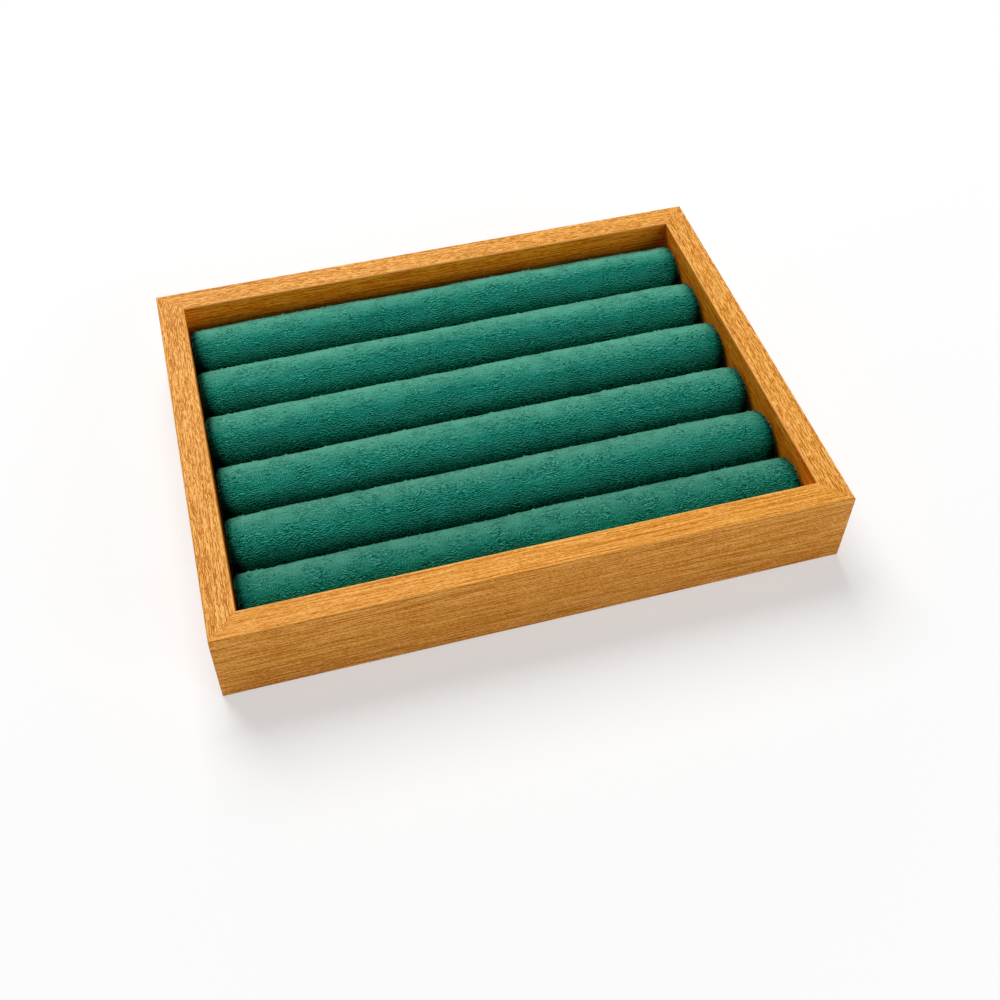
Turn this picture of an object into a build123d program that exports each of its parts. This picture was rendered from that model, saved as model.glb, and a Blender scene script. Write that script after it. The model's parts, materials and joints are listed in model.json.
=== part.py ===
from build123d import *
from math import cos, radians, sin
import os

# Jewelry tray: a mitred frame wrapped in wood-grain film, a base board let into a rabbet,
# a velvet floor lining, and a row of loose rolls, each a foam core in its own velvet sleeve.
# Millimetres. The origin is the middle of the underside: +X along the rolls, +Y to the back, +Z up.

os.makedirs("parts", exist_ok=True)

# Frame
tray_length = 200.0
tray_depth = 150.0
tray_height = 29.0
rail_width = 9.0
core_arris = 0.3

# Film wrapped over the outer face, the top and the inner face of each rail
film = 0.3
film_lift = 0.2

# Base board, let into a rabbet along the lower inner edge of the rails
board = 2.5
board_recess = 0.3
board_clearance = 0.25
rabbet_reach = 4.0

# Velvet lining on the base board
lining = 0.8
lining_clearance = 0.3

# Corner nails: a folded steel angle pressed up across each mitre
nail_leg = 5.0
nail_thickness = 0.6
nail_height = 10.0
nail_recess = 0.4

# Velvet rolls
roll_count = 6
roll_gap = 0.3
roll_end_gap = 0.6
roll_crown = 0.3
roll_flat = 0.8
draw_length = 24.0
end_rounding = 2.2
rounding_steps = 3
end_hole_radius = 1.8
velvet = 1.3
seam_gap = 0.5
dish_share = 0.6

# How far a cutting body runs past what it cuts
overrun = 2.0

# Sizes that follow
cavity_length = tray_length - 2 * rail_width
cavity_depth = tray_depth - 2 * rail_width
rabbet_height = board_recess + board
floor_height = rabbet_height + lining
roll_diameter = (cavity_depth - (roll_count + 1) * roll_gap) / roll_count
roll_radius = roll_diameter / 2
roll_pitch = roll_diameter + roll_gap
roll_half_length = cavity_length / 2 - roll_end_gap
roll_axis_height = floor_height + roll_radius - roll_flat


def block(x_range, y_range, z_range):
    """A box between two values on each axis."""
    low = [min(r) for r in (x_range, y_range, z_range)]
    size = [abs(r[1] - r[0]) for r in (x_range, y_range, z_range)]
    return Pos(*low) * Box(*size, align=Align.MIN)


# Rails
# Each rail is drawn at the front of a frame of the given length and depth, and turned to its side.


def rail_bar(length, depth, inset, arris):
    """A full bar along X with rounded top arrises, inset on its faces."""
    outer = -depth / 2
    bar = block(
        (-length / 2, length / 2),
        (outer + inset, outer + rail_width - inset),
        (0, tray_height - inset),
    )
    return fillet(bar.edges().filter_by(Axis.X).group_by(Axis.Z)[-1], arris)


def rabbet(length, depth):
    """The step that is cut along the lower inner edge for the base board."""
    inner = -depth / 2 + rail_width
    return block(
        (-length / 2 - overrun, length / 2 + overrun),
        (inner - rabbet_reach, inner + overrun),
        (-overrun, rabbet_height),
    )


def mitre(length, depth):
    """The wedge between the two mitre planes of one rail."""
    outer = -depth / 2 - overrun
    inner = -depth / 2 + rail_width + overrun
    outer_end = length / 2 + overrun
    inner_end = length / 2 - rail_width - overrun
    plan = Polyline(
        (-outer_end, outer), (outer_end, outer), (inner_end, inner), (-inner_end, inner), close=True
    )
    return Pos(0, 0, -overrun) * extrude(make_face(plan), tray_height + 2 * overrun)


def rail_core(length, depth):
    """The fibreboard bar inside the film."""
    bar = rail_bar(length, depth, film, core_arris)
    return (bar - rabbet(length, depth)) & mitre(length, depth)


def rail_film(length, depth):
    """The film: outer face, top and inner face, with the underside and the rabbet left bare."""
    skin = rail_bar(length, depth, 0, core_arris + film) - rail_bar(length, depth, film, core_arris)
    edge = block(
        (-length / 2 - overrun, length / 2 + overrun),
        (-depth / 2 - overrun, -depth / 2 + rail_width + overrun),
        (-overrun, film_lift),
    )
    return (skin - edge - rabbet(length, depth)) & mitre(length, depth)


# Corner nails


def corner_nail(top, bottom):
    """The folded angle at the back right corner, with its fold on the mitre."""
    inset = (rail_width - rabbet_reach) / 2
    fold_x = tray_length / 2 - inset + nail_thickness / 2
    fold_y = tray_depth / 2 - inset + nail_thickness / 2
    along_x = block((fold_x - nail_leg, fold_x), (fold_y - nail_thickness, fold_y), (bottom, top))
    along_y = block((fold_x - nail_thickness, fold_x), (fold_y - nail_leg, fold_y), (bottom, top))
    return along_x + along_y


def at_corners(shape):
    """One copy of a back right shape at each corner."""
    right = [shape, shape.mirror(Plane.XZ)]
    return right + [each.mirror(Plane.YZ) for each in right]


nail_top = nail_recess + nail_height
nails = at_corners(corner_nail(nail_top, nail_recess))
nail_slots = Compound(at_corners(corner_nail(nail_top, -overrun)))
export_step(Compound(nails), "parts/corner_nails.step")

for turn, side in enumerate(("front", "right", "back", "left")):
    size = (tray_length, tray_depth) if turn % 2 == 0 else (tray_depth, tray_length)
    place = Rot(0, 0, 90 * turn)
    export_step(place * rail_core(*size) - nail_slots, f"parts/{side}_rail_core.step")
    export_step(place * rail_film(*size), f"parts/{side}_rail_film.step")


# Base board and lining


def sheet(length, depth, bottom, thickness):
    """A flat sheet, centred on the tray."""
    return block((-length / 2, length / 2), (-depth / 2, depth / 2), (bottom, bottom + thickness))


board_reach = rabbet_reach - board_clearance
base_board = sheet(
    cavity_length + 2 * board_reach, cavity_depth + 2 * board_reach, board_recess, board
)
export_step(base_board, "parts/base_board.step")

floor_lining = sheet(
    cavity_length - 2 * lining_clearance, cavity_depth - 2 * lining_clearance, rabbet_height, lining
)
export_step(floor_lining, "parts/floor_lining.step")


# Velvet rolls
# A roll is a bar about its own axis: fat in the middle, drawn in and rounded towards the ends,
# dished at the ends, and flat underneath where it lies on the lining.


def turned(half_outline):
    """The form turned about X from the outline of its right half, which runs from axis to top."""
    left = [(-x, y) for x, y in reversed(half_outline)]
    return revolve(make_face(Polyline(*half_outline, *left, close=True)), Axis.X)


def flattened(bar, radius):
    """The bar with its underside cut flat."""
    reach = roll_half_length + overrun
    return bar - block((-reach, reach), (-radius, radius), (-radius - overrun, roll_flat - radius))


def roll_core():
    """The foam bar, cut square, one velvet thickness inside the sleeve."""
    radius = roll_radius - velvet
    half_length = roll_half_length - velvet
    return flattened(turned([(half_length, 0), (half_length, radius)]), radius)


def roll_cover():
    """The outer form of the velvet, with its end edges rounded in steps."""
    centre_x = roll_half_length - end_rounding
    centre_y = roll_radius - roll_crown - end_rounding
    outline = [(roll_half_length - velvet * dish_share, 0)]
    for step in range(rounding_steps + 1):
        angle = radians(90 * step / rounding_steps)
        x = centre_x + end_rounding * cos(angle)
        outline.append((x, centre_y + end_rounding * sin(angle)))
    outline.append((roll_half_length - draw_length, roll_radius))
    return flattened(turned(outline), roll_radius)


def roll_sleeve(core):
    """The velvet round the foam: a butt seam underneath, and ends turned in to a small opening."""
    reach = roll_half_length + overrun
    opening = Rot(0, 90, 0) * Cylinder(end_hole_radius, 2 * reach)
    seam = block((-reach, reach), (-seam_gap / 2, seam_gap / 2), (-roll_radius - overrun, 0))
    return roll_cover() - core - opening - seam


core = roll_core()
sleeve = roll_sleeve(core)
for number in range(roll_count):
    place = Pos(0, ((roll_count - 1) / 2 - number) * roll_pitch, roll_axis_height)
    export_step(place * core, f"parts/roll_{number + 1}_core.step")
    export_step(place * sleeve, f"parts/roll_{number + 1}_sleeve.step")
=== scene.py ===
import json
import math

import bpy
import numpy as np
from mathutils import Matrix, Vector

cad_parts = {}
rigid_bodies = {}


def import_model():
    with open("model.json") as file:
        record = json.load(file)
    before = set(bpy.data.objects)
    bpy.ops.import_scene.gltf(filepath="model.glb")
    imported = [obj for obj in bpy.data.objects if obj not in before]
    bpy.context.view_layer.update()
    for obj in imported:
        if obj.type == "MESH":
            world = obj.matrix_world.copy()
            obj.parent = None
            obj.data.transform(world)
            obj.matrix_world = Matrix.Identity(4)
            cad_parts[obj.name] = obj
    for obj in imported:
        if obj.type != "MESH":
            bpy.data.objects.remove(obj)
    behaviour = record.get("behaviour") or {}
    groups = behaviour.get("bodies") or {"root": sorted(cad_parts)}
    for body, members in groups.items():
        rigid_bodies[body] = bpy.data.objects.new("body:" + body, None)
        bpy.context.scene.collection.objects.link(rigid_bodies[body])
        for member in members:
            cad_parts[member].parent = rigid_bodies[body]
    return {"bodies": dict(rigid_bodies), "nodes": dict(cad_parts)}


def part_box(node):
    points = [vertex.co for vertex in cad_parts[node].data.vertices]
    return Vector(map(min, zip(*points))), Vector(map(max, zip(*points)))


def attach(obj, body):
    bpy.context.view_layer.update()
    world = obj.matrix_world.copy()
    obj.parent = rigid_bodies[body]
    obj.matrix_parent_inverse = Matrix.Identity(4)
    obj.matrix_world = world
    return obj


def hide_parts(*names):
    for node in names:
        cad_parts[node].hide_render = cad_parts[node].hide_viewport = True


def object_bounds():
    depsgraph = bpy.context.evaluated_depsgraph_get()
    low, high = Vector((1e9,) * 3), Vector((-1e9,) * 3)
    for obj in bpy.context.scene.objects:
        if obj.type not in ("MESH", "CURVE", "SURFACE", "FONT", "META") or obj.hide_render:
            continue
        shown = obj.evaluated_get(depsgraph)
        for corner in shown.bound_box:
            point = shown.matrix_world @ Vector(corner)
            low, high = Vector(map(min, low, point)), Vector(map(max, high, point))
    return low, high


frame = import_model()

# Jewelry tray: a frame in wood-grain film round six loose velvet rolls.
# Metres, in the frame of the solids. The materials work in millimetres on the object.

cad_low, cad_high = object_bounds()
MM = 0.001

# Inner faces of the side rails and of the front and back rails
INNER_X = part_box("right_rail_film")[0].x
INNER_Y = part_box("back_rail_film")[0].y

# Camera, fitted to the outer and inner corners of the frame
CAMERA_PLACE = (-0.07756, -0.28450, 0.33715)
CAMERA_TURN = (42.409, -0.008, -15.214)
CAMERA_LENS = 46.02
CAMERA_SENSOR = 36.0
CAMERA_SHIFT = (0.02, -0.08)
CAMERA_CLIP = (0.01, 20.0)

# Light and floor
FILL_STRENGTH = 0.16
KEY_PLACE = (-0.28, 1.55, 1.9)
KEY_SIZE = 1.6
KEY_POWER = 66.0
FRONT_PLACE = (0.85, -1.2, 0.38)
FRONT_SIZE = 1.0
FRONT_POWER = 7.6
FLOOR_SIZE = 6.0
FLOOR_DROP = 0.05 * MM
FLOOR_SEEN = (1.0, 1.0, 1.0, 1.0)
FLOOR_BOUNCE = (0.90, 0.90, 0.90, 1.0)
FLOOR_LIFT = 0.50
FLOOR_FADE_START = 0.16
FLOOR_FADE_END = 0.34
WHITE = (1.0, 1.0, 1.0, 1.0)

# A range is the low and high of a value, and then what they become, which is 0 and 1 if not given.
# Most values of a noise lie in this one.
NOISE_RANGE = (0.3, 0.7)

# Layers of the film's print: how far each is drawn out along the grain, and its features per millimetre
BANDS = (80, 0.6)
STREAKS = (34, 2.0)
LINES_WANDER = (120, 0.3)
LINES_FADE = (26, 0.5)

# Print of each rail: its dashes in the same terms, and the strength of dashes and streaks on its top
FRONT_PRINT = ((3.2, 3.6), (1.7, 1.7))
BACK_PRINT = ((5.5, 3.4), (4.8, 1.9))
SIDE_PRINT = ((7.0, 3.6), (5.0, 1.9))

# Strength of the dashes and streaks on upright faces, of more streaks on inner ones, and of the rest
FACE_GAINS = (3.6, 3.2)
INNER_STREAKS_GAIN = 1.2
BANDS_GAIN = 0.4
LINES_GAIN = -0.5

# Growth lines: millimetres from line to line, wander in radians, and the ranges for thin and faded
LINES_PITCH = 2.1
LINES_DRIFT = 16.0
LINES_THIN = (0.92, 1.0)
LINES_FADED = (0.46, 0.60)

# Ranges in millimetres: below the rails' top, outward from the inner faces, and across the mitre
TOP_PRINT = (-0.4, -0.1)
ARRIS_TOP = (-0.5, -0.3)
ARRIS_WIDTH = (0.4, 0.8, 0.4, 0.0)
INNER_FACE = (0.05, 0.3, 1.0, 0.0)
MITRE_LINE = (0.08, 0.20, 0.25, 0.0)

# Shades of the film in linear colour
FILM_SHADES = (
    (0.05, (0.50, 0.157, 0.006)),
    (0.35, (0.70, 0.262, 0.024)),
    (0.60, (0.86, 0.362, 0.060)),
    (0.95, (1.00, 0.520, 0.135)),
)
# Painted shade: the inner faces, inside the tray's recess, are made deeper and more orange
INNER_PAINTED_SHADE = (1.26, 0.80, 0.22, 1.0)
ARRIS_SHADE = (1.0, 0.54, 0.17, 1.0)
MITRE_SHADE = (0.30, 0.10, 0.02, 1.0)
FILM_ROUGHNESS = (0.50, 0.38)
FILM_SPECULAR = 0.06
FILM_BUMP = (0.08 * MM, 0.6)

# Positions on the scale of tones, and the shades of the pile there in linear colour
PILE_STOPS = (0.12, 0.50, 0.85, 1.0)
VELVET_SHADES = (
    (0.000, 0.030, 0.020),
    (0.000, 0.185, 0.129),
    (0.040, 0.425, 0.300),
    (0.070, 0.540, 0.390),
)
LINING_SHADES = (
    (0.002, 0.040, 0.025),
    (0.006, 0.070, 0.045),
    (0.010, 0.100, 0.065),
    (0.020, 0.130, 0.085),
)

# Nap: features per millimetre, how it drifts, and each direction's stretch and where it is compared
NAP_SCALE = 2.7
DRIFT_SCALE = 0.18
DRIFT_DETAIL = 1.0
DRIFT_REACH = (2.0, 2.0, 2.0)
LENGTHWISE_NAP = ((1.8, 1, 1), (0, 0.17, 0.17))
CROSSWISE_NAP = ((1, 1.3, 1.3), (0.17, 0, 0))

# Brushed patches, their weight in the tone, and the millimetres that a full one adds to the height.
# The nap turns crosswise over a range of that height.
PATCHES = {"scale": 0.16, "detail": 1.5, "roughness": 0.6}
PATCHES_GAIN = 0.3
PATCHES_RISE = 14.0
CROSSWISE_FROM = (5.1, 8.6)

# The way up and back, where the key lamp stands, and ranges of how far a place faces that way,
# for the nap's contrast and for the painted sheen
UP_AND_BACK = (0.0, 0.77, 0.64)
NAP_GAIN_BY_FACING = (-0.5, 1.0, 4.9, 0.9)
PAINTED_SHEEN_BY_FACING = (0.25, 1.05)

# Ranges of the height in millimetres, from the crown of the rolls or the top of the lining
CONTRAST_BY_HEIGHT = (-14.0, -8.5, 0.4, 1.0)
# Painted sheen, fading out down the flanks
PAINTED_SHEEN_BY_HEIGHT = (-7.0, -3.5, 0.4, 1.0)
# Painted shade low on the flanks, in the grooves between the rolls
GROOVE_SHADE_BY_HEIGHT = (-8.0, -3.5, -0.27, 0.0)
# Painted shadow at the ends, full low down and a little weaker near the crown
END_SHADOW_BY_HEIGHT = (-7.0, -2.0, 1.0, 0.8)

# Painted sheen: how much lighter and greyer the pile is painted where the key lamp lights it,
# and ranges in millimetres from front to back
PAINTED_SHEEN_LIFT = 0.28
PAINTED_SHEEN_FRONT_SHARE = 0.2
PAINTED_SHEEN_TINT = (0.092, 0.0, 0.0, 1.0)
PAINTED_SHEEN_BY_DEPTH = (-66.0, 20.0, PAINTED_SHEEN_FRONT_SHARE * PAINTED_SHEEN_LIFT, PAINTED_SHEEN_LIFT)
# Painted shade: the roll at the front a little darker
FRONT_ROLL_SHADE_BY_DEPTH = (-58.0, -44.0, -0.04, 0.0)

# Painted shade at the roll ends next to the side rails: ranges in millimetres from the end for a darker
# end and for a near-black painted shadow, the slope of that shadow's edge, and its colour and sheen
END_SHADE_BY_END = (-6.0, -1.0, 0.0, -0.25)
END_SHADOW_BY_END = (-2.6, -0.4)
END_SHADOW_SLOPE = -0.3
END_PAINTED_SHADOW = (0.0, 0.004, 0.003, 1.0)
END_SHADOW_SHEEN = 0.35

# Surface of the pile
PILE_ROUGHNESS = 0.95
PILE_SPECULAR = 0.04
SHEEN_WEIGHT = 1.0
SHEEN_ROUGHNESS = 0.30
SHEEN_TINT = (0.12, 1.0, 0.74, 1.0)
PILE_BUMP = (0.25 * MM, 0.8)

# Fibreboard and hardboard, and the millimetres from wire to wire in the hardboard's mesh
FIBRES = {"scale": 2.2, "detail": 4, "roughness": 0.7, "distortion": 1.2}
FIBRE_STOPS = (0.35, 0.65)
FIBREBOARD_SHADES = ((0.26, 0.15, 0.075), (0.42, 0.27, 0.15))
HARDBOARD_SHADES = ((0.13, 0.065, 0.03), (0.24, 0.13, 0.065))
HARDBOARD_MESH = 1.6
FIBRE_ROUGHNESS = 0.85
FIBRE_BUMP = (0.12 * MM, 0.6)

# Nails
MARKS_STRETCH = (1, 1, 8)
MARKS = {"scale": 3.0, "detail": 3}
STEEL_SHADES = ((0.42, 0.43, 0.44), (0.62, 0.63, 0.64))
STEEL_ROUGHNESS = (0.30, 0.48)
STEEL_BUMP = (0.02 * MM, 0.5)

# Foam
CELL_SCALE = 2.4
CELL_DEPTH = (0.0, 0.6)
FOAM_SHADES = ((0.0, (0.30, 0.31, 0.30)), (0.6, (0.62, 0.63, 0.60)))
FOAM_ROUGHNESS = 0.95
FOAM_BUMP = (0.2 * MM, 0.7)

# Velvet sleeve of a roll
END_ROUNDING = 2.2 * MM
END_DRAW_IN = 0.3 * MM
END_DRAW_LENGTH = 26 * MM
END_DISH = 0.8 * MM
END_REACH = 0.3 * MM
OPENING_RADIUS = 1.8 * MM
OPENING_LIP = 0.4 * MM
SEAM_WIDTH = 0.7 * MM
SEAM_DEPTH = 0.7 * MM
ALONG_STEP = 0.55 * MM
ANGLE_STEPS = 226
SKIN_CLEARANCE = 0.15 * MM
CORE_CLEARANCE = 0.02 * MM

# Points of its outline, before they are spaced evenly
BODY_POINTS = 200
CORNER_POINTS = 24
FACE_POINTS = 40

# Irregularities of the sleeve: how far they stand out, and their size along and round the roll
SWELL = (0.06 * MM, 9 * MM, 6 * MM)
RIPPLES = (0.012 * MM, 1.0 * MM, 0.8 * MM)
TUFTS = (0.045 * MM, 0.38 * MM, 0.20 * MM)
STRAYS = (0.42 * MM, 0.38 * MM, 0.35 * MM)
STRAY_RARITY = 1.7
GATHERS = (0.22 * MM, ALONG_STEP, 0.9 * MM)
FRINGE = (0.16 * MM, 0.9 * MM, 0.22 * MM)
FRINGE_REACH = 2.0 * MM
PEAK_SPREAD = 2.5
SLEEVE_SEED = 100

# How much fuller than the plain form each roll is towards its upper back, from the back of the tray
FULLNESS = (0.0, 0.15 * MM, 0.2 * MM, -0.55 * MM, -0.2 * MM, -0.15 * MM)
UPPER_BACK = math.pi / 4

# Cloth simulation of the sleeves, on a coarse grid
CLOTH_ALONG_STEPS = 84
CLOTH_ANGLE_STEPS = 32
CLOTH_FRAMES = 20
CLOTH_PRESSURE = 4.0
CLOTH_QUALITY = 4
CLOTH_SLACK = 0.10 * MM
CLOTH_SLACK_CELLS = (1.2, 1.2)
CLOTH_CAP = 0.15 * MM


# Node building


def fill_inputs(tree, target, inputs):
    """Sets a node's inputs, by the socket's name or number, to values or to other sockets."""
    for name, value in inputs.items():
        if isinstance(value, bpy.types.NodeSocket):
            tree.links.new(value, target.inputs[name])
        else:
            target.inputs[name].default_value = value


def node(tree, kind, inputs=None, **settings):
    """A new shader node with its inputs and settings."""
    made = tree.nodes.new("ShaderNode" + kind)
    for name, value in settings.items():
        setattr(made, name, value)
    fill_inputs(tree, made, inputs or {})
    return made


def new_material(name):
    """An empty material, its tree, its Principled shader and its output."""
    material = bpy.data.materials.new(name)
    material.use_nodes = True
    tree = material.node_tree
    tree.nodes.clear()
    shader = node(tree, "BsdfPrincipled")
    output = node(tree, "OutputMaterial", {"Surface": shader.outputs["BSDF"]})
    return material, tree, shader, output


def millimetres(tree, stretch=(1, 1, 1)):
    """The place on the object in millimetres, divided along each axis by its stretch."""
    place = node(tree, "TexCoord").outputs["Object"]
    scale = tuple(1 / (MM * each) for each in stretch)
    return node(tree, "VectorMath", {0: place, 1: scale}, operation="MULTIPLY").outputs[0]


def split(tree, place):
    """The place along each axis, by the axis's name."""
    return node(tree, "SeparateXYZ", {0: place}).outputs


def noise(tree, place, scale, detail=2.0, roughness=0.5, distortion=0.0):
    """Noise from 0 to 1 whose features measure one over the scale."""
    inputs = {
        "Vector": place,
        "Scale": scale,
        "Detail": detail,
        "Roughness": roughness,
        "Distortion": distortion,
    }
    return node(tree, "TexNoise", inputs).outputs["Fac"]


def math_node(tree, operation, a, b=0.0, c=0.0):
    """The result of a sum, in which values and sockets can be mixed."""
    return node(tree, "Math", {0: a, 1: b, 2: c}, operation=operation).outputs[0]


def strands(tree, place, scale, apart):
    """Noise about a half without its broad patches: how it differs from its mean on two sides."""
    places = [
        node(tree, "VectorMath", {0: place, 1: apart}, operation=operation).outputs[0]
        for operation in ("ADD", "SUBTRACT")
    ]
    sides = math_node(tree, "ADD", *(noise(tree, where, scale) for where in places))
    here = math_node(tree, "ADD", noise(tree, place, scale), 0.5)
    return math_node(tree, "MULTIPLY_ADD", sides, -0.5, here)


def about_half(tree, value, gain):
    """A noise whose swing about a half is multiplied by a fixed gain."""
    return math_node(tree, "MULTIPLY_ADD", value, gain, 0.5 - 0.5 * gain)


def with_swing(tree, base, value, gain):
    """The base with the swing of a noise about a half added, multiplied by the gain."""
    swing = math_node(tree, "SUBTRACT", value, 0.5)
    return math_node(tree, "MULTIPLY_ADD", swing, gain, base)


def remap(tree, value, low, high, new_low=0.0, new_high=1.0):
    """The value taken from one range to another, and held inside it."""
    inputs = {
        "Value": value,
        "From Min": low,
        "From Max": high,
        "To Min": new_low,
        "To Max": new_high,
    }
    return node(tree, "MapRange", inputs).outputs["Result"]


def between(tree, share, start, end):
    """The value at a share of the way from start to end."""
    return remap(tree, share, 0.0, 1.0, start, end)


def moved(span, offset):
    """A range whose low and high are moved by an offset."""
    low, high, *becomes = span
    return low + offset, high + offset, *becomes


def ramp(tree, value, stops):
    """A colour for the value, from (position, colour) stops."""
    made = node(tree, "ValToRGB", {"Fac": value})
    elements = made.color_ramp.elements
    while len(elements) < len(stops):
        elements.new(1.0)
    for element, (position, colour) in zip(elements, stops):
        element.position = position
        element.color = (*colour, 1.0)
    return made.outputs["Color"]


def blend_colours(tree, factor, first, second, blend_type="MIX", clamp_result=False):
    """Two colours mixed by a factor."""
    inputs = {"Factor": factor, 6: first, 7: second}
    settings = {"data_type": "RGBA", "blend_type": blend_type, "clamp_result": clamp_result}
    return node(tree, "Mix", inputs, **settings).outputs[2]


def bump(tree, height, distance, strength):
    """A bumped normal. The distance is what a height of one stands for, in metres."""
    inputs = {"Height": height, "Distance": distance, "Strength": strength}
    return node(tree, "Bump", inputs).outputs["Normal"]


# Film


def wood_film(name, along, dash_layer, top_gains):
    """Printed wood-grain film: fine dashes and long lines along an axis of the tray."""
    material, tree, shader, _ = new_material(name)

    def stretched(length):
        return millimetres(tree, tuple(length if axis == along else 1 for axis in "XYZ"))

    def clouds(length, scale):
        return noise(tree, stretched(length), scale)

    def lines(length, scale):
        apart = tuple(0.0 if axis == along else 0.5 / scale for axis in "XYZ")
        return strands(tree, stretched(length), scale, apart)

    place = split(tree, millimetres(tree))
    inner, arris = inner_masks(tree, place)
    top = remap(tree, place["Z"], *moved(TOP_PRINT, cad_high.z / MM))
    streaks = lines(*STREAKS)
    dashes = lines(*dash_layer)
    tone = about_half(tree, clouds(*BANDS), BANDS_GAIN)
    for value, gains in zip((dashes, streaks), zip(FACE_GAINS, top_gains)):
        tone = with_swing(tree, tone, value, between(tree, top, *gains))
    tone = with_swing(tree, tone, streaks, between(tree, inner, 0.0, INNER_STREAKS_GAIN))
    tone = math_node(tree, "MULTIPLY_ADD", growth_lines(tree, along, clouds), LINES_GAIN, tone)
    colour = ramp(tree, tone, FILM_SHADES)
    # Painted shade on the inner faces
    colour = blend_colours(tree, inner, colour, INNER_PAINTED_SHADE, "MULTIPLY", clamp_result=True)
    colour = blend_colours(tree, arris, colour, ARRIS_SHADE)
    colour = blend_colours(tree, mitre_line(tree), colour, MITRE_SHADE)
    inputs = {
        "Base Color": colour,
        "Roughness": remap(tree, dashes, *NOISE_RANGE, *FILM_ROUGHNESS),
        "Specular IOR Level": FILM_SPECULAR,
        "Normal": bump(tree, dashes, *FILM_BUMP),
    }
    fill_inputs(tree, shader, inputs)
    return material


def inner_masks(tree, place):
    """One on the inner faces, where more streaks and a painted shade go, and less than a half on their
    top arris.
    """
    past = []
    for axis, line in (("X", INNER_X), ("Y", INNER_Y)):
        past.append(math_node(tree, "SUBTRACT", math_node(tree, "ABSOLUTE", place[axis]), line / MM))
    beyond = math_node(tree, "MAXIMUM", *past)
    inner = remap(tree, beyond, *INNER_FACE)
    top = remap(tree, place["Z"], *moved(ARRIS_TOP, cad_high.z / MM))
    arris = math_node(tree, "MULTIPLY", top, remap(tree, beyond, *ARRIS_WIDTH))
    return inner, arris


def growth_lines(tree, along, clouds):
    """Thin long lines that wander a little along the grain and fade in and out, from 0 to 1."""
    place = split(tree, millimetres(tree))
    depth = math_node(tree, "ADD", place["Y" if along == "X" else "X"], place["Z"])
    wander = math_node(tree, "MULTIPLY", clouds(*LINES_WANDER), LINES_DRIFT)
    phase = math_node(tree, "MULTIPLY_ADD", depth, 2 * math.pi / LINES_PITCH, wander)
    thin = remap(tree, math_node(tree, "SINE", phase), *LINES_THIN)
    faded = remap(tree, clouds(*LINES_FADE), *LINES_FADED)
    return math_node(tree, "MULTIPLY", thin, faded)


def mitre_line(tree):
    """The strength of the hairline where two rails meet at a corner, and zero elsewhere."""
    place = split(tree, millimetres(tree))
    across, deep = (math_node(tree, "ABSOLUTE", place[axis]) for axis in "XY")
    off = math_node(tree, "SUBTRACT", across, deep)
    off = math_node(tree, "SUBTRACT", off, (cad_high.x - cad_high.y) / MM)
    return remap(tree, math_node(tree, "ABSOLUTE", off), *MITRE_LINE)


# Velvet


def velvet(name, pile_end, crown, shades):
    """Short pile lying along X, in brushed patches, with a painted sheen on the back and top of each
    roll and painted shade low on the flanks, on the front roll and at the ends, with a painted shadow
    low on the ends."""
    material, tree, shader, _ = new_material(name)
    flat = millimetres(tree)
    place = split(tree, flat)
    height = math_node(tree, "SUBTRACT", place["Z"], crown)
    from_middle = math_node(tree, "ABSOLUTE", place["X"])
    patches = noise(tree, flat, **PATCHES)
    nap = brushed_nap(tree, flat, height, patches)
    up_and_back = facing_up_and_back(tree)
    low = remap(tree, height, *CONTRAST_BY_HEIGHT)
    # Painted sheen: the pile lighter and greyer where a roll's back and top face the key lamp
    painted_sheen = math_node(
        tree, "MULTIPLY", remap(tree, up_and_back, *PAINTED_SHEEN_BY_FACING), remap(tree, height, *PAINTED_SHEEN_BY_HEIGHT)
    )
    gain = math_node(tree, "MULTIPLY", low, remap(tree, up_and_back, *NAP_GAIN_BY_FACING))
    tone = with_swing(tree, 0.0, nap, gain)
    for change in (
        about_half(tree, patches, PATCHES_GAIN),
        # painted sheen, weaker on the rolls at the front
        math_node(tree, "MULTIPLY", painted_sheen, remap(tree, place["Y"], *PAINTED_SHEEN_BY_DEPTH)),
        # painted shade in the grooves
        remap(tree, height, *GROOVE_SHADE_BY_HEIGHT),
        # painted shade on the front roll
        remap(tree, place["Y"], *FRONT_ROLL_SHADE_BY_DEPTH),
        # painted shade towards the ends
        remap(tree, from_middle, *moved(END_SHADE_BY_END, pile_end)),
    ):
        tone = math_node(tree, "ADD", tone, change)
    colour = ramp(tree, tone, list(zip(PILE_STOPS, shades)))
    # The painted sheen also greys the pile
    painted_sheen_grey = math_node(tree, "MULTIPLY", painted_sheen, remap(tree, tone, *NOISE_RANGE))
    colour = blend_colours(tree, painted_sheen_grey, colour, PAINTED_SHEEN_TINT, "ADD")
    # Painted shadow at the lower ends next to the side rails, with less sheen there
    end_shadow = end_shadow_mask(tree, height, from_middle, pile_end)
    end_shadow = math_node(tree, "MULTIPLY", end_shadow, low)
    inputs = {
        "Base Color": blend_colours(tree, end_shadow, colour, END_PAINTED_SHADOW),
        "Roughness": PILE_ROUGHNESS,
        "Specular IOR Level": PILE_SPECULAR,
        "Sheen Weight": between(tree, end_shadow, SHEEN_WEIGHT, END_SHADOW_SHEEN),
        "Sheen Roughness": SHEEN_ROUGHNESS,
        "Sheen Tint": SHEEN_TINT,
        "Normal": bump(tree, nap, *PILE_BUMP),
    }
    fill_inputs(tree, shader, inputs)
    return material


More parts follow.
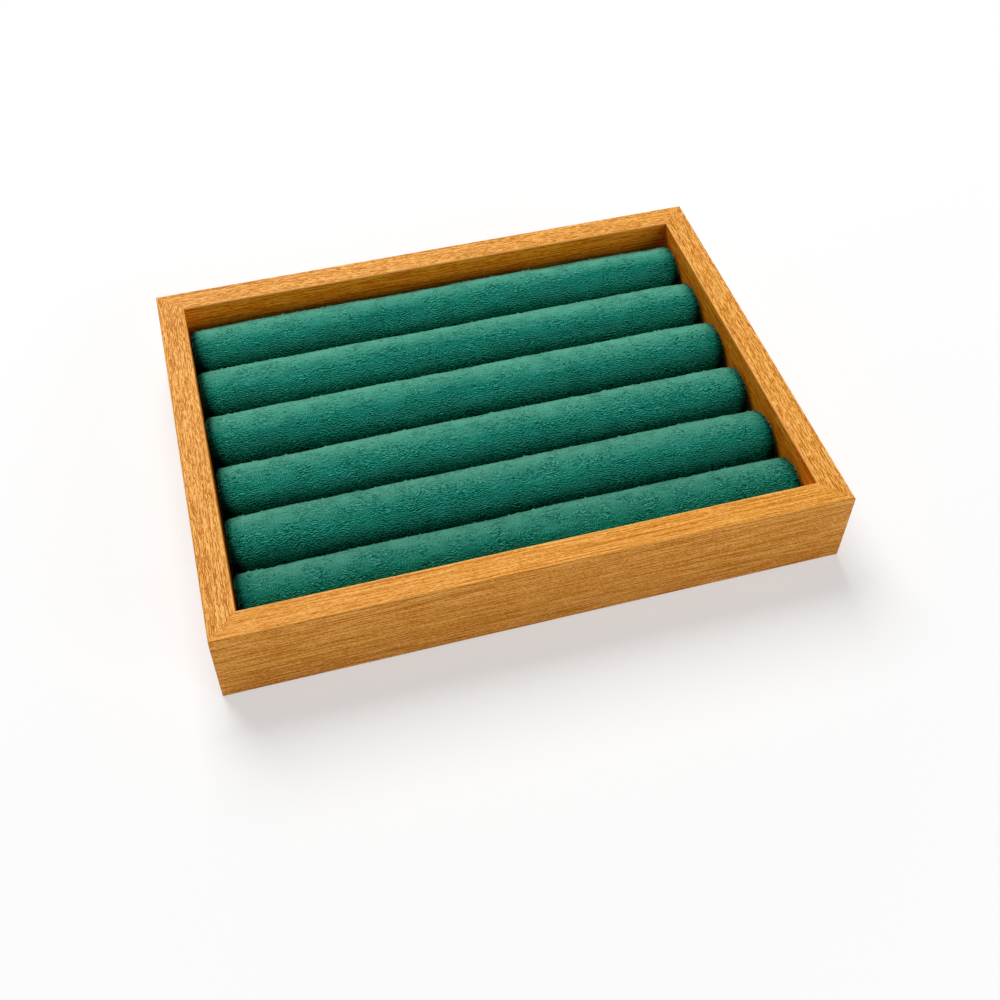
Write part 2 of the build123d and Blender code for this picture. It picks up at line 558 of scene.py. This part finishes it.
def brushed_nap(tree, flat, height, patches):
    """Fine strands about a half: along the roll, and across it near the crown and on the patches."""
    inputs = {"Vector": flat, "Scale": DRIFT_SCALE, "Detail": DRIFT_DETAIL}
    drift = node(tree, "TexNoise", inputs).outputs["Color"]

    def nap_towards(stretch, apart):
        inputs = {0: drift, 1: DRIFT_REACH, 2: millimetres(tree, stretch)}
        drifted = node(tree, "VectorMath", inputs, operation="MULTIPLY_ADD").outputs[0]
        return strands(tree, drifted, NAP_SCALE, apart)

    raised = math_node(tree, "MULTIPLY_ADD", patches, PATCHES_RISE, height)
    mixed = {
        "Factor": remap(tree, raised, *CROSSWISE_FROM),
        2: nap_towards(*LENGTHWISE_NAP),
        3: nap_towards(*CROSSWISE_NAP),
    }
    return node(tree, "Mix", mixed).outputs[0]


def facing_up_and_back(tree):
    """How far each place faces up and back, towards the key lamp."""
    facing = node(tree, "TexCoord").outputs["Normal"]
    inputs = {0: facing, 1: UP_AND_BACK}
    return node(tree, "VectorMath", inputs, operation="DOT_PRODUCT").outputs["Value"]


def end_shadow_mask(tree, height, from_middle, pile_end):
    """Up to one where a painted shadow darkens an end, further in the lower it is, and zero elsewhere.
    """
    towards_end = math_node(tree, "MULTIPLY_ADD", height, END_SHADOW_SLOPE, from_middle)
    over_end = remap(tree, towards_end, *moved(END_SHADOW_BY_END, pile_end))
    return math_node(tree, "MULTIPLY", over_end, remap(tree, height, *END_SHADOW_BY_HEIGHT))


# Hidden pieces


def pressed_fibre(name, shades, mesh_pitch=0.0):
    """Fibreboard or hardboard: matted fibres, with the print of a wire mesh if a pitch is given."""
    material, tree, shader, _ = new_material(name)
    flat = millimetres(tree)
    height = fibres = noise(tree, flat, **FIBRES)
    if mesh_pitch:
        place = split(tree, flat)
        turn = 2 * math.pi / mesh_pitch
        waves = [
            math_node(tree, "SINE", math_node(tree, "MULTIPLY", place[axis], turn)) for axis in "XY"
        ]
        height = math_node(tree, "MULTIPLY", *waves)
    inputs = {
        "Base Color": ramp(tree, fibres, list(zip(FIBRE_STOPS, shades))),
        "Roughness": FIBRE_ROUGHNESS,
        "Normal": bump(tree, height, *FIBRE_BUMP),
    }
    fill_inputs(tree, shader, inputs)
    return material


def nail_steel(name):
    """Dull zinc-plated steel with faint rolling marks."""
    material, tree, shader, _ = new_material(name)
    marks = noise(tree, millimetres(tree, MARKS_STRETCH), **MARKS)
    inputs = {
        "Base Color": ramp(tree, marks, list(zip(NOISE_RANGE, STEEL_SHADES))),
        "Metallic": 1.0,
        "Roughness": remap(tree, marks, *NOISE_RANGE, *STEEL_ROUGHNESS),
        "Normal": bump(tree, marks, *STEEL_BUMP),
    }
    fill_inputs(tree, shader, inputs)
    return material


def foam(name):
    """Fine open-cell foam."""
    material, tree, shader, _ = new_material(name)
    cells = node(tree, "TexVoronoi", {"Vector": millimetres(tree), "Scale": CELL_SCALE})
    depth = remap(tree, cells.outputs["Distance"], *CELL_DEPTH)
    inputs = {
        "Base Color": ramp(tree, depth, FOAM_SHADES),
        "Roughness": FOAM_ROUGHNESS,
        "Normal": bump(tree, depth, *FOAM_BUMP),
    }
    fill_inputs(tree, shader, inputs)
    return material


# Form of the sleeves


def ease(share):
    """A smooth rise from 0 to 1."""
    share = np.clip(share, 0.0, 1.0)
    return share * share * (3 - 2 * share)


def drawn_in(along, half_length):
    """How much the sleeve is drawn in at a distance from the middle."""
    start = half_length - END_DRAW_LENGTH
    return END_DRAW_IN * ease((np.abs(along) - start) / END_DRAW_LENGTH)


def outside_outline(half_length, radius, count):
    """Evenly spaced (along, out) points over the outside, from the left opening to the right one."""
    shoulder = half_length - END_ROUNDING
    face_radius = radius - drawn_in(shoulder, half_length) - END_ROUNDING
    angles = np.linspace(0, math.pi / 2, CORNER_POINTS)
    body_x = np.linspace(0, shoulder, BODY_POINTS)
    body = np.column_stack([body_x, radius - drawn_in(body_x, half_length)])
    corner = np.column_stack([
        shoulder + END_ROUNDING * np.sin(angles),
        face_radius + END_ROUNDING * np.cos(angles),
    ])
    lip_out = OPENING_RADIUS + OPENING_LIP
    face_r = np.linspace(face_radius, lip_out, FACE_POINTS)
    dish = END_DISH * ease((face_radius - face_r) / face_radius)
    face = np.column_stack([half_length - dish, face_r])
    lip_x = face[-1, 0] - OPENING_LIP
    lip = np.column_stack([
        lip_x + OPENING_LIP * np.cos(angles),
        lip_out - OPENING_LIP * np.sin(angles),
    ])
    right = np.vstack([body, corner[1:], face[1:], lip[1:]])
    whole = np.vstack([right[::-1] * (-1, 1), right[1:]])
    run = np.r_[0, np.cumsum(np.hypot(*np.diff(whole, axis=0).T))]
    even = np.linspace(0, run[-1], count)
    return np.column_stack([np.interp(even, run, whole[:, axis]) for axis in (0, 1)])


def outline_normals(outline):
    """Unit normals of an outline, pointing out of the sleeve."""
    slope = np.gradient(outline, axis=0)
    normals = np.column_stack([-slope[:, 1], slope[:, 0]])
    return normals / np.linalg.norm(normals, axis=1)[:, None]


def field(rng, shape, steps, smooth):
    """Seeded noise of unit spread over a grid, with features about as large as the smooth lengths."""
    white = np.fft.fft2(rng.standard_normal(shape))
    rates = np.meshgrid(*(np.fft.fftfreq(n, step) for n, step in zip(shape, steps)), indexing="ij")
    spread = sum((rate * width) ** 2 for rate, width in zip(rates, smooth))
    band = np.exp(-2 * math.pi**2 * spread) - np.exp(-8 * math.pi**2 * spread)
    made = np.fft.ifft2(white * band).real
    return made / made.std()


def turned(outline, offsets, angles):
    """The outline turned about the roll's axis, moved along its normals by the offsets."""
    normals = outline_normals(outline)
    along = outline[:, :1] + normals[:, :1] * offsets
    out = outline[:, 1:] + normals[:, 1:] * offsets
    return np.stack([along, out * np.sin(angles), out * np.cos(angles)], axis=-1)


def grid_mesh(name, points, closed):
    """A mesh over a grid of points that closes round its second axis, and round its first if closed."""
    rows, columns = points.shape[:2]
    row = np.arange(rows if closed else rows - 1)[:, None]
    column = np.arange(columns)[None, :]
    next_row, next_column = (row + 1) % rows, (column + 1) % columns
    corners = [
        row * columns + column,
        row * columns + next_column,
        next_row * columns + next_column,
        next_row * columns + column,
    ]
    faces = np.stack([np.broadcast_to(c, (len(row), columns)) for c in corners], axis=-1)
    mesh = bpy.data.meshes.new(name)
    mesh.from_pydata(points.reshape(-1, 3).tolist(), [], faces.reshape(-1, 4).tolist())
    mesh.polygons.foreach_set("use_smooth", [True] * len(mesh.polygons))
    mesh.update()
    return mesh


class Roll:
    """The measures of one roll, read from its solids."""

    def __init__(self, number):
        self.number = number
        self.body = f"roll_{number}"
        self.node = f"roll_{number}_sleeve"
        low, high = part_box(self.node)
        core_low, core_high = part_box(f"roll_{number}_core")
        self.half_length = (high.x - low.x) / 2
        self.radius = (high.y - low.y) / 2
        self.axis = Vector(((low.x + high.x) / 2, (low.y + high.y) / 2, high.z - self.radius))
        self.rest = low.z - self.axis.z
        self.core_half_length = (core_high.x - core_low.x) / 2
        self.core_radius = (core_high.y - core_low.y) / 2
        self.core_rest = core_low.z - self.axis.z


# Cloth


def cloth_offsets(rolls):
    """How far the cloth of each sleeve moves when it is blown up over its foam, on a coarse grid."""
    shape = (CLOTH_ALONG_STEPS, CLOTH_ANGLE_STEPS)
    angles = np.linspace(-math.pi, math.pi, CLOTH_ANGLE_STEPS, endpoint=False)
    tubes = []
    for roll in rolls:
        rng = np.random.default_rng(roll.number)
        outline = outside_outline(roll.half_length, roll.radius, CLOTH_ALONG_STEPS)
        slack = CLOTH_SLACK * field(rng, shape, (1, 1), CLOTH_SLACK_CELLS)
        points = turned(outline, slack, angles)
        tube = bpy.data.objects.new(f"cloth_{roll.number}", grid_mesh("cloth", points, False))
        bpy.context.scene.collection.objects.link(tube)
        add_cloth(tube)
        tubes.append((tube, outline))
    for number in range(1, CLOTH_FRAMES + 1):
        bpy.context.scene.frame_set(number)
    graph = bpy.context.evaluated_depsgraph_get()
    results = []
    for tube, outline in tubes:
        mesh = tube.evaluated_get(graph).data
        places = np.empty(len(mesh.vertices) * 3)
        mesh.vertices.foreach_get("co", places)
        base = turned(outline, np.zeros(shape), angles)
        outward = turned(outline, np.ones(shape), angles) - base
        offset = ((places.reshape(base.shape) - base) * outward).sum(axis=-1)
        results.append(np.clip(offset - offset.mean(), -CLOTH_CAP, CLOTH_CAP))
        bpy.data.objects.remove(tube)
    bpy.context.scene.frame_set(1)
    return results


def add_cloth(tube):
    """Blown-up cloth without gravity, held at the two openings."""
    held = tube.vertex_groups.new(name="held")
    count = len(tube.data.vertices)
    held.add([*range(CLOTH_ANGLE_STEPS), *range(count - CLOTH_ANGLE_STEPS, count)], 1.0, "REPLACE")
    cloth = tube.modifiers.new("cloth", "CLOTH")
    cloth.settings.use_pressure = True
    cloth.settings.uniform_pressure_force = CLOTH_PRESSURE
    cloth.settings.effector_weights.gravity = 0.0
    cloth.settings.vertex_group_mass = held.name
    cloth.settings.quality = CLOTH_QUALITY
    cloth.point_cache.frame_end = CLOTH_FRAMES


def resampled(coarse, shape):
    """A coarse grid brought to a finer one, which closes round its second axis."""
    along = np.linspace(0, coarse.shape[0] - 1, shape[0])
    rows = np.array([np.interp(along, np.arange(coarse.shape[0]), c) for c in coarse.T]).T
    closed = np.column_stack([rows, rows[:, :1]])
    around = np.linspace(0, coarse.shape[1], shape[1], endpoint=False)
    return np.array([np.interp(around, np.arange(coarse.shape[1] + 1), row) for row in closed])


# Sleeves


def sleeve_offsets(roll, outline, cloth, angles):
    """How far each point of the outside stands off the plain form."""
    rng = np.random.default_rng(SLEEVE_SEED + roll.number)
    shape = (len(outline), len(angles))
    steps = (ALONG_STEP, 2 * math.pi * roll.radius / len(angles))

    def layer(size, along, round_it):
        spread = np.clip(field(rng, shape, steps, (along, round_it)), -PEAK_SPREAD, PEAK_SPREAD)
        return size * spread

    strays = field(rng, shape, steps, STRAYS[1:])
    offsets = resampled(cloth, shape) + layer(*SWELL) + layer(*RIPPLES) + layer(*TUFTS)
    offsets += STRAYS[0] * np.clip(strays - STRAY_RARITY, 0.0, 1.0)
    from_end = (roll.half_length - np.abs(outline[:, :1])) / FRINGE_REACH
    offsets += layer(*FRINGE) * np.exp(-(from_end**2))
    towards_opening = ease(1 - outline[:, 1] / (roll.radius - END_ROUNDING))[:, None]
    pleats = field(rng, (1, len(angles)), steps, GATHERS[1:])
    offsets += GATHERS[0] * pleats * towards_opening
    offsets += FULLNESS[roll.number - 1] * np.clip(np.cos(angles - UPPER_BACK), 0.0, 1.0)
    from_seam = (math.pi - np.abs(angles)) * roll.radius
    offsets -= SEAM_DEPTH * np.exp(-((from_seam / SEAM_WIDTH) ** 2))
    return offsets - SKIN_CLEARANCE


def make_sleeve(roll, cloth, material):
    """The velvet of one roll: the outside, turned in at the openings, and the inside over the foam."""
    angles = np.linspace(-math.pi, math.pi, ANGLE_STEPS, endpoint=False)
    length = 2 * (roll.half_length + roll.radius - OPENING_RADIUS)
    outline = outside_outline(roll.half_length, roll.radius, round(length / ALONG_STEP))
    outside = turned(outline, sleeve_offsets(roll, outline, cloth, angles), angles)
    outside[..., 2] = np.maximum(outside[..., 2], roll.rest)
    reach = roll.half_length + END_REACH
    outside[..., 0] = np.clip(outside[..., 0], -reach, reach)
    end = roll.core_half_length + CORE_CLEARANCE
    over_core = roll.core_radius + CORE_CLEARANCE
    right = [(end, OPENING_RADIUS), (end, over_core)]
    inner = np.array(right + [(-x, out) for x, out in reversed(right)])
    inside = turned(inner, np.zeros((len(inner), len(angles))), angles)
    inside[..., 2] = np.maximum(inside[..., 2], roll.core_rest - CORE_CLEARANCE)
    points = np.concatenate([outside, inside]) + np.array(roll.axis)
    name = f"{roll.body}_velvet"
    piece = bpy.data.objects.new(name, grid_mesh(name, points, True))
    piece.data.materials.append(material)
    bpy.context.scene.collection.objects.link(piece)
    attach(piece, roll.body)
    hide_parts(roll.node)


# Stage


def make_camera():
    """The camera at the photograph's viewing angle."""
    data = bpy.data.cameras.new("camera")
    data.lens = CAMERA_LENS
    data.sensor_width = CAMERA_SENSOR
    data.shift_x, data.shift_y = CAMERA_SHIFT
    data.clip_start, data.clip_end = CAMERA_CLIP
    camera = bpy.data.objects.new("camera", data)
    camera.location = CAMERA_PLACE
    camera.rotation_euler = [math.radians(angle) for angle in CAMERA_TURN]
    bpy.context.scene.collection.objects.link(camera)
    bpy.context.scene.camera = camera


def make_lamp(name, place, size, power):
    """A large soft lamp turned to the tray."""
    data = bpy.data.lights.new(name, "AREA")
    data.shape = "SQUARE"
    data.size = size
    data.energy = power
    lamp = bpy.data.objects.new(name, data)
    lamp.location = place
    lamp.rotation_euler = (-lamp.location).to_track_quat("-Z", "Y").to_euler()
    bpy.context.scene.collection.objects.link(lamp)


def make_world():
    """Even white light, seen as plain white behind the floor and in reflections."""
    world = bpy.data.worlds.new("studio")
    world.use_nodes = True
    tree = world.node_tree
    tree.nodes.clear()
    path = node(tree, "LightPath").outputs
    seen = math_node(tree, "MAXIMUM", path["Is Camera Ray"], path["Is Glossy Ray"])
    seen = math_node(tree, "MAXIMUM", seen, path["Is Transmission Ray"])
    strength = between(tree, seen, FILL_STRENGTH, 1.0)
    background = node(tree, "Background", {"Color": WHITE, "Strength": strength})
    node(tree, "OutputWorld", {"Surface": background.outputs[0]})
    bpy.context.scene.world = world


def make_floor():
    """A pale floor that keeps the shadow near the tray and goes to plain white far from it."""
    material, tree, shader, output = new_material("floor")
    camera_ray = node(tree, "LightPath").outputs["Is Camera Ray"]
    inputs = {
        "Base Color": blend_colours(tree, camera_ray, FLOOR_BOUNCE, FLOOR_SEEN),
        "Roughness": 1.0,
        "Specular IOR Level": 0.0,
    }
    fill_inputs(tree, shader, inputs)
    place = node(tree, "TexCoord").outputs["Object"]
    distance = node(tree, "VectorMath", {0: place}, operation="LENGTH").outputs["Value"]
    far = remap(tree, distance, FLOOR_FADE_START, FLOOR_FADE_END, FLOOR_LIFT, 1.0)
    white = node(tree, "Emission", {"Color": WHITE, "Strength": 1.0})
    share = math_node(tree, "MULTIPLY", far, camera_ray)
    mixed = node(tree, "MixShader", {0: share, 1: shader.outputs[0], 2: white.outputs[0]})
    fill_inputs(tree, output, {"Surface": mixed.outputs[0]})
    half = FLOOR_SIZE / 2
    height = cad_low.z - FLOOR_DROP
    corners = [(x * half, y * half, height) for x, y in ((-1, -1), (1, -1), (1, 1), (-1, 1))]
    mesh = bpy.data.meshes.new("floor")
    mesh.from_pydata(corners, [], [(0, 1, 2, 3)])
    mesh.materials.append(material)
    floor = bpy.data.objects.new("floor", mesh)
    bpy.context.scene.collection.objects.link(floor)


# The object


def dress_nodes():
    """Gives every carried-over solid its material."""
    film_y = wood_film("film_along_y", "Y", *SIDE_PRINT)
    lining_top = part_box("floor_lining")[1]
    fibreboard = pressed_fibre("fibreboard", FIBREBOARD_SHADES)
    foam_material = foam("foam")
    materials = {
        "front_rail_film": wood_film("film_along_x", "X", *FRONT_PRINT),
        "back_rail_film": wood_film("film_at_back", "X", *BACK_PRINT),
        "left_rail_film": film_y,
        "right_rail_film": film_y,
        "base_board": pressed_fibre("hardboard", HARDBOARD_SHADES, HARDBOARD_MESH),
        "corner_nails": nail_steel("nail_steel"),
        "floor_lining": velvet("lining", lining_top.x / MM, lining_top.z / MM, LINING_SHADES),
    }
    for name, solid in frame["nodes"].items():
        if name.endswith("rail_core"):
            material = fibreboard
        elif name.startswith("roll"):
            material = foam_material
        else:
            material = materials[name]
        solid.data.materials.clear()
        solid.data.materials.append(material)


def make_sleeves():
    """Puts a velvet sleeve on every roll that the frame holds."""
    numbers = sorted(int(body.split("_")[1]) for body in frame["bodies"] if body.startswith("roll_"))
    rolls = [Roll(number) for number in numbers]
    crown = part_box(rolls[0].node)[1].z
    pile = velvet("velvet", rolls[0].half_length / MM, crown / MM, VELVET_SHADES)
    for roll, cloth in zip(rolls, cloth_offsets(rolls)):
        make_sleeve(roll, cloth, pile)


bpy.context.scene.view_settings.view_transform = "Standard"
make_camera()
make_lamp("key", KEY_PLACE, KEY_SIZE, KEY_POWER)
make_lamp("front", FRONT_PLACE, FRONT_SIZE, FRONT_POWER)
make_world()
make_floor()
dress_nodes()
make_sleeves()
